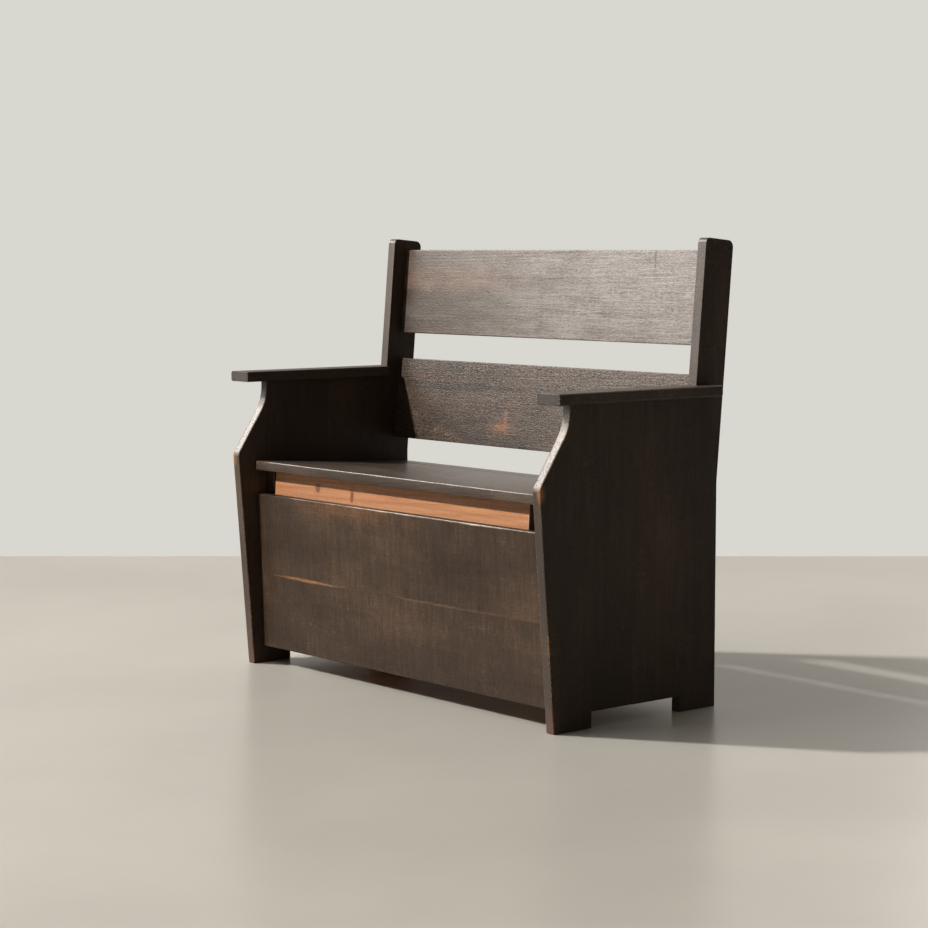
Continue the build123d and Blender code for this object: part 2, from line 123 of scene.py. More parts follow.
def power(name, text, value):
    """Strength property of a light."""
    return bpy.props.FloatProperty(name=name, description=text, subtype="POWER", min=0, default=value)


class BenchFinish(bpy.types.PropertyGroup):
    """Colours and wear of the bench."""

    stain_dark: colour("Stain, dark", "Stain where it lies thick in the grain", (0.011, 0.0066, 0.0040))
    stain_mid: colour("Stain", "Stain on most of the wood", (0.0362, 0.0224, 0.0143))
    stain_thin: colour("Stain, thin", "Stain where it is rubbed thin", (0.092, 0.0550, 0.0320))
    stain_red: colour("Stain, red", "Thin red stain on bearers, feet and post tops", (0.085, 0.0340, 0.0170))
    bare_wood: colour("Rubbed through", "Wood where the stain is rubbed away", (0.300, 0.135, 0.055))
    worn_edge: colour("Worn arris", "Dry wood along the worn arrises", (0.400, 0.340, 0.280))
    # Painted highlight: pale colour that stands in for the light caught along a rounded arris
    painted_arris_highlight: colour("Polished arris", "Wood along the arris that hands have polished", (0.720, 0.620, 0.530))
    # Painted sheen: grey colour that stands in for the gloss of light on the back slats, the seat and the end panels'
    # front edges
    painted_sheen: colour("Bloom", "Grey bloom on the back slats and the posts", (0.270, 0.212, 0.176))
    # Painted sheen: pale cool grey that stands in for gloss on the upper slat's right and the seat's lit top
    painted_glare: colour("Haze", "Cool haze at the right of the upper slat", (0.295, 0.266, 0.248))
    fresh_pine: colour("Fresh pine", "Unfinished pine between the rings", (0.385, 0.178, 0.080))
    fresh_late: colour("Fresh pine, rings", "Unfinished pine in its dark rings", (0.265, 0.102, 0.038))
    knot: colour("Knot", "Heart of a knot", (0.140, 0.050, 0.021))
    beech: colour("Beech", "Dowels and splines", (0.520, 0.345, 0.200))
    hinge_steel: colour("Hinge steel", "Blackened steel of the hinge leaves", (0.050, 0.046, 0.043))
    screw_steel: colour("Screw steel", "Zinc on screws and pins", (0.360, 0.345, 0.320))
    ring_width: length("Ring width", "Width of one growth ring", 0.0046)


class BenchShape(bpy.types.PropertyGroup):
    """Sizes of what is eased on the boards."""

    arris: length("Arris", "Ease of the open arrises", 0.0016)
    worn_arris: length("Worn arris", "Ease of the arrises of ends, front panel and seat", 0.0022)


class BenchStage(bpy.types.PropertyGroup):
    """Floor, lights and camera."""

    floor: colour("Floor", "Pale floor", (0.560, 0.535, 0.480))
    wall: colour("Backdrop", "Pale backdrop", (0.690, 0.680, 0.630))
    floor_rough: share("Floor roughness", "Roughness of the floor", 0.28)
    floor_width: length("Floor width", "Width of the floor, across the view", 18.0)
    floor_depth: length("Floor depth", "Depth of the floor, along the view", 9.8)
    floor_reach: length("Floor reach", "Far edge of the floor from the camera", 6.74)
    light_colour: colour("Light", "Warm white of the lights", (1.0, 0.97, 0.93))
    ambient_colour: colour("Ambient colour", "Colour of the light from all round", (1.0, 0.93, 0.84))
    ambient: power("Ambient", "Light from all round", 0.20)
    ambient_gloss: power("Ambient gloss", "Light from all round that only gloss shows", 0.45)
    ambient_dark: share("Dark side", "Share of the ambient light that is left on the dark side", 0.2)
    key: power("Key", "Strength of the key light on the bench", 5.3)
    key_turn: angle("Key turn", "Key light to the left of straight ahead", 18.0)
    key_rise: angle("Key rise", "Key light above the floor", 34.0)
    key_softness: angle("Key softness", "Spread of the key light", 3.0)
    low_sun: power("Floor light", "Strength of the light that throws the shadow on the floor", 3.4)
    low_sun_turn: angle("Floor light turn", "Floor light to the left of straight ahead", 52.5)
    low_sun_rise: angle("Floor light rise", "Floor light above the floor", 37.5)
    window: power("Window", "Power of the broad light on the floor", 55.0)
    glow: power("Glow", "Power of the front light that only gloss shows", 30.0)
    sheen: power("Sheen", "Power of the high light that only gloss shows", 420.0)
    back_fill: power("Back fill", "Power of the weak light from behind", 40.0)
    lens: bpy.props.FloatProperty(
        name="Lens", description="Focal length on a 36 mm sensor", unit="CAMERA", default=88.61
    )
    camera_place: bpy.props.FloatVectorProperty(
        name="Camera", description="Place of the camera", subtype="XYZ", size=3, default=(3.6202, -3.0734, 0.9097)
    )
    camera_turn: angle("Camera turn", "Turn of the camera to the left", 49.834)
    camera_dip: angle("Camera dip", "Dip of the camera below level", 5.374)


class Recipe:
    """Node tree of one material, built step by step on Object coordinates."""

    def __init__(self, name):
        self.material = bpy.data.materials.new(name)
        self.material.use_nodes = True
        self.tree = self.material.node_tree
        self.shader = self.tree.nodes["Principled BSDF"]
        coordinates = self.add("TexCoord")
        self.place = coordinates.outputs["Object"]
        self.normal = coordinates.outputs["Normal"]

    def add(self, kind, inputs=None, **settings):
        """New node with its settings, and its inputs linked or set."""
        node = self.tree.nodes.new("ShaderNode" + kind)
        for name, value in settings.items():
            setattr(node, name, value)
        for socket, value in (inputs or {}).items():
            self.feed(node.inputs[socket], value)
        return node

    def feed(self, socket, value):
        """Links an output to a socket, or sets the socket."""
        if isinstance(value, bpy.types.NodeSocket):
            self.tree.links.new(value, socket)
        else:
            socket.default_value = value

    def math(self, operation, *values):
        """Math on one to three values."""
        return self.add("Math", dict(enumerate(values)), operation=operation).outputs[0]

    def fade(self, value, low, high, start=0.0, end=1.0):
        """Smooth step of a value from start to end as it goes from low to high."""
        inputs = {"Value": value, "From Min": low, "From Max": high, "To Min": start, "To Max": end}
        return self.add("MapRange", inputs, interpolation_type="SMOOTHSTEP").outputs["Result"]

    def mix(self, share_of_second, first, second):
        """Mix of two colours."""
        first, second = ((*c, 1.0) if len_of(c) == 3 else c for c in (first, second))
        inputs = {0: share_of_second, 6: first, 7: second}
        return self.add("Mix", inputs, data_type="RGBA").outputs[2]

    def turned(self, vector, turn=(0, 0, 0), shift=(0, 0, 0), scale=(1, 1, 1)):
        """Vector scaled, turned and shifted."""
        inputs = {"Vector": vector, "Location": shift, "Rotation": turn, "Scale": scale}
        return self.add("Mapping", inputs).outputs["Vector"]

    def noise(self, vector, along, across, detail=2.0, roughness=0.5):
        """Noise with its own counts per metre along and across the grain."""
        stretched = self.turned(vector, scale=(along, across, across))
        inputs = {"Vector": stretched, "Scale": 1.0, "Detail": detail, "Roughness": roughness}
        return self.add("TexNoise", inputs).outputs["Fac"]

    def spot(self, centre, reach, ragged, softness=1.0):
        """Value from 1 in the middle of an ellipsoid to 0 outside it, with a ragged, soft edge."""
        scale = tuple(1 / r for r in reach)
        shift = tuple(-c / r for c, r in zip(centre, reach))
        local = self.turned(self.place, shift=shift, scale=scale)
        distance = self.add("VectorMath", {0: local}, operation="LENGTH").outputs["Value"]
        return self.fade(self.math("ADD", distance, ragged), 1.15, 1.15 - softness)

    def facing(self, direction):
        """How far the surface faces a direction of the piece, from -1 to 1."""
        inputs = {0: self.normal, 1: direction}
        return self.add("VectorMath", inputs, operation="DOT_PRODUCT").outputs["Value"]

    def ramp(self, value, *stops):
        """Colours at places from 0 to 1, and their mixes between."""
        node = self.add("ValToRGB", {"Fac": value})
        for number, (place, stop_colour) in enumerate(stops):
            entry = node.color_ramp.elements[number] if number < 2 else node.color_ramp.elements.new(place)
            entry.position = place
            entry.color = (*stop_colour, 1.0)
        return node.outputs["Color"]

    def weighted(self, *parts):
        """Sum of weighted values from 0 to 1, with its middle at one half."""
        total = 0.5 * (1 - sum(weight for value, weight in parts))
        for value, weight in parts:
            total = self.math("MULTIPLY_ADD", value, weight, total)
        return total

    def bump(self, height, strength, distance):
        """Bump of a height on the shader."""
        inputs = {"Height": height, "Strength": strength, "Distance": distance}
        self.feed(self.shader.inputs["Normal"], self.add("Bump", inputs).outputs["Normal"])


def len_of(value):
    """Number of entries of a plain colour, or none for a socket."""
    return 0 if isinstance(value, bpy.types.NodeSocket) else len(value)


# Finishes
def pine_figure(recipe, grain, seed, pith, tilt, ring_width):
    """Parts of the figure of a pine board, each from 0 to 1. The pith line runs tilted through a point."""
    turn = GRAIN_TURN[grain]
    board = recipe.turned(recipe.place, turn, (seed * 1.37, seed * 0.41, seed * 0.73))
    swing = recipe.noise(board, 1.6, 5.0, 2.0)
    wander = recipe.math("MULTIPLY", recipe.math("SUBTRACT", swing, 0.5), 0.025)
    drift = recipe.add("CombineXYZ", {"Y": wander, "Z": wander}).outputs[0]
    log = recipe.turned(recipe.place, turn, -(Euler(turn).to_matrix() @ Vector(pith)))
    log = recipe.add("VectorMath", {0: log, 1: drift}, operation="ADD").outputs[0]
    log = recipe.turned(log, (0, tilt / 2, tilt))
    rings = recipe.add(
        "TexWave",
        {"Vector": log, "Scale": pi / 10 / ring_width, "Distortion": 0.7, "Detail": 2.0, "Detail Scale": 0.35},
        wave_type="RINGS", rings_direction="X", wave_profile="SAW",
    ).outputs["Fac"]
    return {
        "late": recipe.fade(rings, 0.45, 0.98),
        "fibre": recipe.noise(board, 16.0, 560.0, 3.0, 0.6),
        "line": recipe.noise(board, 9.0, 290.0, 2.0, 0.6),
        "streak": recipe.noise(board, 2.4, 70.0, 4.0, 0.6),
        "blotch": recipe.noise(board, 3.2, 8.0, 3.0, 0.55),
        "tick": recipe.noise(board, 300.0, 60.0, 2.0, 0.55),
        "saw": recipe.noise(board, 130.0, 12.0, 3.0, 0.6),
        "broad_saw": recipe.noise(board, 38.0, 4.0, 2.0, 0.5),
        "speck": recipe.noise(board, 230.0, 400.0, 1.0, 0.5),
        "dent": recipe.noise(board, 240.0, 400.0, 2.0, 0.55),
        "pebble": recipe.noise(board, 100.0, 280.0, 3.0, 0.6),
        "patch": recipe.noise(board, 9.0, 26.0, 3.0, 0.6),
    }


def stained_pine(
    finish, name, grain, seed, pith, tilt=radians(1.5), stain=None, figure=0.5, saw=0.4, kerf=0.0, cloud=0.6,
    speck=0.4, painted_sheen=0.0, painted_edge_sheen=0.0, rub=0.2, worn=0.2, gloss=0.3, side_gloss=None, rough=0.34, relief=0.7,
    marks=(),
):
    """Dark stained, rough-sawn pine, worn pale along its arrises.

    Figure, saw, kerf, cloud and speck set how strongly the grain, the fine and the long saw marks, the uneven tone
    and the specks show. Faces that don't look up have side_gloss, if it is given. Marks are (colour, centre, reach,
    share) spots.
    """
    recipe = Recipe(name)
    wood = pine_figure(recipe, grain, seed, pith, tilt, finish.ring_width)
    math, fade, mix = recipe.math, recipe.fade, recipe.mix
    dark, middle, thin = stain or (finish.stain_dark, finish.stain_mid, finish.stain_thin)
    tone = recipe.weighted(
        (wood["streak"], 0.6 * figure), (wood["line"], 0.5 * figure), (wood["tick"], 0.6 * saw),
        (wood["broad_saw"], 0.4 * saw), (wood["saw"], kerf), (wood["blotch"], 0.9 * cloud),
        (wood["pebble"], 0.7 * speck),
    )
    body = recipe.ramp(tone, (0.15, dark), (0.9, thin), (0.5, middle))
    body = mix(math("MULTIPLY", wood["late"], 0.4 * figure), body, dark)
    rubbed = math("MULTIPLY", fade(wood["patch"], 0.58, 0.76), fade(wood["saw"], 0.42, 0.66))
    body = mix(math("MULTIPLY", rubbed, rub), body, finish.bare_wood)
    # Painted sheen: grey mixed into the colour where the gloss of the light would lie
    if painted_sheen:
        painted_sheen_tone = recipe.weighted(
            (wood["blotch"], 0.6), (wood["pebble"], 0.45), (wood["line"], 0.4), (wood["streak"], 0.3)
        )
        body = mix(math("MULTIPLY", fade(painted_sheen_tone, 0.0, 0.9), painted_sheen), body, finish.painted_sheen)
    # Painted highlight: faces turned to the sloping front, such as the hollow under an arm, get grey where the
    # light's gloss would lie
    if painted_edge_sheen:
        front = fade(recipe.facing(SLOPING_FRONT), 0.86, 0.98)
        mottled = fade(recipe.weighted((wood["dent"], 0.6), (wood["line"], 0.4), (wood["patch"], 0.4)), 0.1, 0.9)
        body = mix(math("MULTIPLY", front, math("MULTIPLY", mottled, painted_edge_sheen)), body, finish.painted_sheen)
    cracks = fade(wood["line"], 0.60, 0.74, 0.0, 0.7 * figure)
    body = mix(cracks, body, dark)
    specks = fade(wood["speck"], 0.56, 0.70)
    body = mix(math("MULTIPLY", specks, 0.8 * speck), body, dark)
    # Painted highlight: pale specks that stand in for small glints of gloss
    glints = math("MULTIPLY", fade(wood["speck"], 0.40, 0.28), fade(wood["patch"], 0.45, 0.70))
    body = mix(math("MULTIPLY", glints, 0.45 * speck), body, finish.painted_sheen)
    end_grain = fade(math("ABSOLUTE", recipe.facing(GRAIN_WAY[grain])), 0.7, 0.95)
    body = mix(math("MULTIPLY", end_grain, 0.6), body, dark)
    ragged = math("MULTIPLY", math("SUBTRACT", wood["patch"], 0.5), 1.8)
    grit = recipe.weighted((wood["pebble"], 0.7), (wood["saw"], 0.5 * saw), (wood["line"], 1.3 * figure))
    grit = fade(grit, 0.25, 0.75, 0.3)
    for mark_colour, centre, reach, strength in marks:
        spot = math("MULTIPLY", recipe.spot(centre, reach, ragged), math("MULTIPLY", grit, strength))
        body = mix(spot, body, mark_colour)
    wear = recipe.add("Attribute", attribute_name="wear").outputs["Fac"]
    patchy = math("ADD", wear, recipe.weighted((wood["patch"], 0.8), (wood["dent"], 0.6)))
    edge = mix(fade(wood["patch"], 0.50, 0.66), finish.worn_edge, finish.bare_wood)
    body = mix(fade(patchy, 1.60 - worn, 1.90 - worn, 0.0, 0.6), body, edge)
    recipe.feed(recipe.shader.inputs["Base Color"], body)
    dull = math("ADD", math("ADD", specks, end_grain), math("MULTIPLY", wear, 1.5))
    recipe.feed(
        recipe.shader.inputs["Roughness"],
        math("MULTIPLY_ADD", wood["blotch"], 0.16, math("MULTIPLY_ADD", dull, 0.2, rough)),
    )
    shine = gloss if side_gloss is None else fade(recipe.facing(UPWARD), 0.5, 0.95, side_gloss, gloss)
    recipe.feed(recipe.shader.inputs["Specular IOR Level"], shine)
    height = recipe.weighted(
        (wood["tick"], 0.8 * saw), (wood["line"], 0.5 * figure), (wood["dent"], 0.3), (wood["fibre"], 0.25),
        (wood["late"], 0.2 * figure), (wood["pebble"], 0.6 * speck), (specks, -0.4 * speck),
    )
    recipe.bump(height, 0.8, STAIN_RELIEF * relief)
    return recipe.material


def fresh_pine(finish, name, grain, seed, pith, tilt=radians(1.0), knots=()):
    """Unfinished pine with its rings and knots. Knots are (centre, reach) spots."""
    recipe = Recipe(name)
    wood = pine_figure(recipe, grain, seed, pith, tilt, finish.ring_width * FRESH_RINGS)
    math, fade, mix = recipe.math, recipe.fade, recipe.mix
    body = mix(math("MULTIPLY", wood["late"], 0.45), finish.fresh_pine, finish.fresh_late)
    body = mix(fade(wood["streak"], 0.40, 0.75, 0.0, 0.6), body, finish.fresh_late)
    body = mix(fade(wood["line"], 0.45, 0.70, 0.0, 0.5), body, finish.fresh_late)
    ragged = math("MULTIPLY", math("SUBTRACT", wood["patch"], 0.5), 1.4)
    for centre, reach in knots:
        halo = recipe.spot(centre, tuple(2.2 * r for r in reach), ragged)
        body = mix(math("MULTIPLY", halo, 0.6), body, finish.fresh_late)
        body = mix(recipe.spot(centre, reach, ragged, softness=0.35), body, finish.knot)
    body = mix(fade(wood["speck"], 0.58, 0.72, 0.0, 0.45), body, finish.knot)
    wear = recipe.add("Attribute", attribute_name="wear").outputs["Fac"]
    body = mix(math("MULTIPLY", wear, 0.5), body, finish.worn_edge)
    recipe.feed(recipe.shader.inputs["Base Color"], body)
    recipe.feed(recipe.shader.inputs["Roughness"], fade(wood["fibre"], 0.2, 0.8, 0.55, 0.75))
    recipe.shader.inputs["Specular IOR Level"].default_value = 0.25
    height = recipe.weighted((wood["late"], 0.35), (wood["fibre"], 0.6), (wood["dent"], 0.4))
    recipe.bump(height, 0.5, FRESH_RELIEF)
    return recipe.material


def plain_steel(name, steel_colour, roughness):
    """Steel with faint stains and scratches."""
    recipe = Recipe(name)
    cloud = recipe.noise(recipe.place, 140.0, 140.0, 4.0, 0.6)
    lines = recipe.noise(recipe.place, 90.0, 1600.0, 2.0)
    dull = tuple(0.45 * c for c in steel_colour)
    recipe.feed(recipe.shader.inputs["Base Color"], recipe.mix(recipe.fade(cloud, 0.40, 0.72), steel_colour, dull))
    spread = recipe.math("MULTIPLY_ADD", lines, 0.18, roughness - 0.09)
    recipe.feed(recipe.shader.inputs["Roughness"], recipe.math("MULTIPLY_ADD", cloud, 0.12, spread))
    recipe.shader.inputs["Metallic"].default_value = 1.0
    recipe.bump(lines, 0.15, 0.0002)
    return recipe.material


# Boards
def inside(point, low, high, margin):
    """True if a point lies in a box grown by a margin."""
    return all(low[axis] - margin < point[axis] < high[axis] + margin for axis in range(3))


def open_arris(edge, joint_planes, joint_boxes):
    """True if an edge is a sharp outer arris that no joint covers."""
    if len(edge.link_faces) != 2 or not edge.is_convex or edge.calc_face_angle() < ARRIS_TURN:
        return False
    for axis, place in joint_planes:
        if all(abs(vert.co[axis] - place) < PLANE_REACH for vert in edge.verts):
            return False
    middle = (edge.verts[0].co + edge.verts[1].co) / 2
    return not any(inside(middle, low, high, JOINT_MARGIN) for low, high in joint_boxes)


def beside(face, others):
    """True if a face shares an edge with one of the others."""
    return any(other in others for edge in face.edges for other in edge.link_faces)


def mean_width(face):
    """Width of a strip with the face's area and outline."""
    return 2 * face.calc_area() / face.calc_perimeter()


def eased_mesh(node, ease, joint_planes=(), joint_nodes=()):
    """Copy of a board with its open arrises eased, and the wear along them as a value of the face corners."""
    bm = bmesh.new()
    bm.from_mesh(frame["nodes"][node].data)
    bmesh.ops.remove_doubles(bm, verts=bm.verts, dist=MERGE_DISTANCE)
    bmesh.ops.dissolve_limit(bm, angle_limit=FLAT_TURN, verts=bm.verts, edges=bm.edges)
    joint_boxes = [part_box(name) for name in joint_nodes]
    arrises = [edge for edge in bm.edges if open_arris(edge, joint_planes, joint_boxes)]
    strips = set(bmesh.ops.bevel(
        bm, geom=arrises, offset=ease, offset_type="OFFSET", segments=2, profile=0.5, affect="EDGES",
        clamp_overlap=True, material=-1,
    )["faces"])
    flats = [
        face for face in bm.faces
        if face not in strips and mean_width(face) > BROAD_FACE * ease and beside(face, strips)
    ]
    margins = bmesh.ops.inset_individual(
        bm, faces=flats, thickness=WORN_MARGIN * ease, use_even_offset=True
    )["faces"]
    worn = {vert for face in strips for vert in face.verts}
    wear = bm.loops.layers.float.new("wear")
    for face in strips.union(face for face in margins if beside(face, strips)):
        for corner in face.loops:
            corner[wear] = 1.0 if corner.vert in worn else 0.0
    mesh = bpy.data.meshes.new(f"finished_{node}")
    bm.to_mesh(mesh)
    bm.free()
    mesh.shade_smooth()
    mesh.set_sharp_from_angle(angle=SHARP_TURN)
    return mesh


def finish_board(node, material, **shape):
    """Puts an eased board with its finish in the place of its node."""
    mesh = eased_mesh(node, **shape)
    mesh.materials.append(material)
    piece = bpy.data.objects.new(f"finished_{node}", mesh)
    bpy.context.scene.collection.objects.link(piece)
    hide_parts(node)
    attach(piece, BODY_OF[node])


def paint_node(node, material):
    """Gives a node its finish and leaves its shape."""
    for slot in frame["nodes"][node].material_slots:
        slot.material = material


# Pieces
class BenchOperator(bpy.types.Operator):
    """Shared settings of the bench's operators."""

    bl_options = {"REGISTER", "UNDO"}

    def execute(self, context):
        """Makes the pieces with the scene's settings."""
        self.make(context.scene.bench_finish, context.scene.bench_shape)
        return {"FINISHED"}


class BENCH_OT_end_panels(BenchOperator):
    """Both end panels: front and rear board, with worn noses and feet"""

    bl_idname = "bench.end_panels"
    bl_label = "End Panels"

    def make(self, finish, shape):
        """Eases and stains the four boards."""
        nose_height = 0.456
        for number, side in enumerate(SIDES):
            low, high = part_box(f"{side}_end_front_board")
            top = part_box(f"{side}_end_rear_board")[1]
            middle, outer = 0.5 * (low.x + high.x), (low.x, high.x)[number]
            nose = (outer, low.y + 0.002, nose_height)
            toe = (middle, low.y + 0.040, 0.004)
            crown = (middle, top.y - 0.040, top.z + 0.004)
            front_marks = (
                (finish.bare_wood, nose, (0.013, 0.012, 0.019), 0.9),
                (finish.stain_red, toe, (0.030, 0.018, 0.060), 0.8),
            )
            rear_marks = ((finish.stain_red, crown, (0.030, 0.060, 0.014), 0.9),)
            seam = ((Y, high.y), (Z, high.z))
            # The third entry of each row is the board's share of painted highlight on its sloping front edges
            for place, seed, painted_edge_sheen, marks in (
                ("front", 5.1, 0.72, front_marks),
                ("rear", 4.1, 0.45, rear_marks),
            ):
                node = f"{side}_end_{place}_board"
                board_low, board_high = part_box(node)
                pith = (middle - 0.09, 0.5 * (board_low.y + board_high.y), 0.3)
                stain = stained_pine(
                    finish, f"{node}_stain", "Z", seed + 2.3 * number, pith, radians(2.5), figure=0.45, saw=0.15,
                    cloud=0.8, speck=0.3, painted_edge_sheen=painted_edge_sheen, rub=0.1, worn=0.1, gloss=0.24, marks=marks,
                )
                finish_board(
                    node, stain, ease=shape.worn_arris, joint_planes=seam,
                    joint_nodes=("upper_back_slat", "lower_back_slat", f"{side}_end_spline", f"{side}_arm_dowels"),
                )


class BENCH_OT_arms(BenchOperator):
    """Both arms"""

    bl_idname = "bench.arms"
    bl_label = "Arms"

    def make(self, finish, shape):
        """Eases and stains the arms."""
        for number, side in enumerate(SIDES):
            low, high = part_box(f"{side}_arm")
            pith = (0.5 * (low.x + high.x), 0.0, low.z - 0.06)
            stain = stained_pine(finish, f"{side}_arm_stain", "Y", 11.0 + number, pith, saw=0.3, speck=0.6)
            finish_board(f"{side}_arm", stain, ease=shape.arris, joint_nodes=(f"{side}_arm_dowels",))


class BENCH_OT_back_slats(BenchOperator):
    """Both back slats, with the painted grey sheen, the check and the knot of the wood"""

    bl_idname = "bench.back_slats"
    bl_label = "Back Slats"

    def make(self, finish, shape):
        """Eases and stains the slats."""
        upper_marks = (
            # Painted sheen: cool grey towards the right of the upper slat
            (finish.painted_glare, (0.450, 0.205, 0.820), (0.900, 0.06, 0.400), 0.8),
            (finish.stain_mid, (-0.420, 0.203, 0.800), (0.400, 0.06, 0.160), 0.6),
            (finish.bare_wood, (-0.300, 0.205, 0.842), (0.260, 0.03, 0.040), 0.22),
            (finish.stain_dark, (0.328, 0.212, 0.889), (0.0040, 0.03, 0.040), 1.0),
        )
        lower_marks = (
            # Painted sheen towards the right of the lower slat
            (finish.painted_sheen, (0.450, 0.190, 0.600), (0.550, 0.06, 0.300), 0.2),
            (finish.stain_dark, (-0.215, 0.186, 0.607), (0.260, 0.03, 0.011), 0.9),
            (finish.stain_red, (-0.330, 0.187, 0.625), (0.120, 0.03, 0.016), 0.4),
            (finish.bare_wood, (-0.110, 0.182, 0.520), (0.060, 0.03, 0.024), 0.22),
            (finish.fresh_pine, (-0.116, 0.181, 0.523), (0.024, 0.03, 0.009), 0.4),
            (finish.bare_wood, (-0.098, 0.183, 0.545), (0.009, 0.03, 0.032), 0.5),
            (finish.knot, (-0.109, 0.182, 0.534), (0.013, 0.03, 0.009), 1.0),
        )
        ends = tuple((X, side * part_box("seat_rear_rail")[1].x) for side in (-1, 1))
        # The sixth entry of each row is the slat's share of painted grey sheen
        for node, seed, cloud, speck, relief, painted_sheen, rub, gloss, marks in (
            ("upper_back_slat", 21.0, 1.1, 0.7, 0.75, 0.30, 0.10, 0.24, upper_marks),
            ("lower_back_slat", 27.0, 1.6, 1.4, 1.20, 0.15, 0.25, 0.20, lower_marks),
        ):
            low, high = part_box(node)
            pith = (0.0, high.y + 0.05, 0.5 * (low.z + high.z))
            stain = stained_pine(
                finish, f"{node}_stain", "X", seed, pith, radians(0.8), figure=0.45, saw=0.45, cloud=cloud,
                speck=speck, painted_sheen=painted_sheen, rub=rub, gloss=gloss, relief=relief, marks=marks,
            )
            finish_board(
                node, stain, ease=shape.arris, joint_planes=ends,
                joint_nodes=("left_end_rear_board", "right_end_rear_board"),
            )


class BENCH_OT_front_panel(BenchOperator):
    """Front panel: two boards with saw marks and a rubbed seam"""

    bl_idname = "bench.front_panel"
    bl_label = "Front Panel"

    def make(self, finish, shape):
        """Eases and stains the two boards."""
        low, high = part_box("front_panel_upper_board")
        joints = ((X, low.x), (X, high.x), (Z, low.z))
        marks = (
            (finish.bare_wood, (-0.300, -0.203, 0.202), (0.130, 0.03, 0.004), 0.9),
            (finish.stain_thin, (0.150, -0.203, 0.203), (0.170, 0.03, 0.0035), 0.9),
            (finish.bare_wood, (-0.130, -0.208, 0.366), (0.190, 0.03, 0.032), 0.3),
            # Painted highlight along the top arris of the front panel
            (finish.painted_arris_highlight, (0.150, -0.2103, 0.3785), (0.600, 0.0045, 0.0045), 1.0),
        )
        for node, seed in (("front_panel_lower_board", 33.0), ("front_panel_upper_board", 37.0)):
            low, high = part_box(node)
            pith = (0.0, high.y + 0.07, 0.5 * (low.z + high.z))
            stain = stained_pine(
                finish, f"{node}_stain", "X", seed, pith, figure=0.2, saw=0.5, kerf=0.35, cloud=0.8, speck=0.3,
                rub=0.07, worn=0.1, gloss=0.08, marks=marks,
            )
            finish_board(node, stain, ease=shape.worn_arris, joint_planes=joints)


class BENCH_OT_seat(BenchOperator):
    """Seat: the two boards of the lid and the fixed rail behind them"""

    bl_idname = "bench.seat"
    bl_label = "Seat"

    def make(self, finish, shape):
        """Eases and stains the boards of the seat."""
        hinges = [f"{place}_hinge_{leaf}_leaf" for place in HINGE_PLACES for leaf in ("rail", "lid")]
        marks = (
            # Painted sheen on the lit right part of the seat top
            (finish.painted_glare, (0.300, 0.020, 0.440), (0.600, 0.220, 0.06), 0.4),
            # Painted shade: the lower half of the seat's front face is darkened towards its bottom arris
            (finish.stain_dark, (0.0, -0.219, 0.4285), (0.900, 0.03, 0.017), 0.8),
        )
        boards = ("lid_front_board", "lid_rear_board")
        for node, seed in ((boards[0], 41.0), (boards[1], 43.0), ("seat_rear_rail", 47.0)):
            low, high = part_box(node)
            pith = (0.0, 0.5 * (low.y + high.y), low.z - 0.05)
            # A little painted grey sheen is laid on the seat's boards
            stain = stained_pine(
                finish, f"{node}_stain", "X", seed, pith, radians(3.0), figure=0.7, saw=0.15, speck=0.6, painted_sheen=0.15,
                rub=0.15, worn=0.1, gloss=0.75, side_gloss=0.14, rough=0.22, relief=0.6, marks=marks,
            )
            neighbours = [board for board in boards if node in boards and board != node]
            finish_board(node, stain, ease=shape.worn_arris, joint_nodes=hinges + neighbours)


class BENCH_OT_lid_timber(BenchOperator):
    """Unfinished apron and battens under the lid"""

    bl_idname = "bench.lid_timber"
    bl_label = "Lid Timber"

    def make(self, finish, shape):
        """Eases the fresh pine boards."""
        knots = (
            ((-0.292, -0.180, 0.401), (0.009, 0.03, 0.011)),
            ((-0.172, -0.180, 0.392), (0.005, 0.03, 0.013)),
        )
        low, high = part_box("lid_apron")
        apron = fresh_pine(finish, "apron_pine", "X", 51.0, (0.0, high.y + 0.12, low.z - 0.03), knots=knots)
        finish_board("lid_apron", apron, ease=shape.arris)
        for side in SIDES:
            low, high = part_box(f"{side}_lid_batten")
            pith = (low.x - 0.04, 0.0, high.z + 0.06)
            batten = fresh_pine(finish, f"{side}_batten_pine", "Y", 53.0 + low.x, pith)
            finish_board(f"{side}_lid_batten", batten, ease=shape.arris)


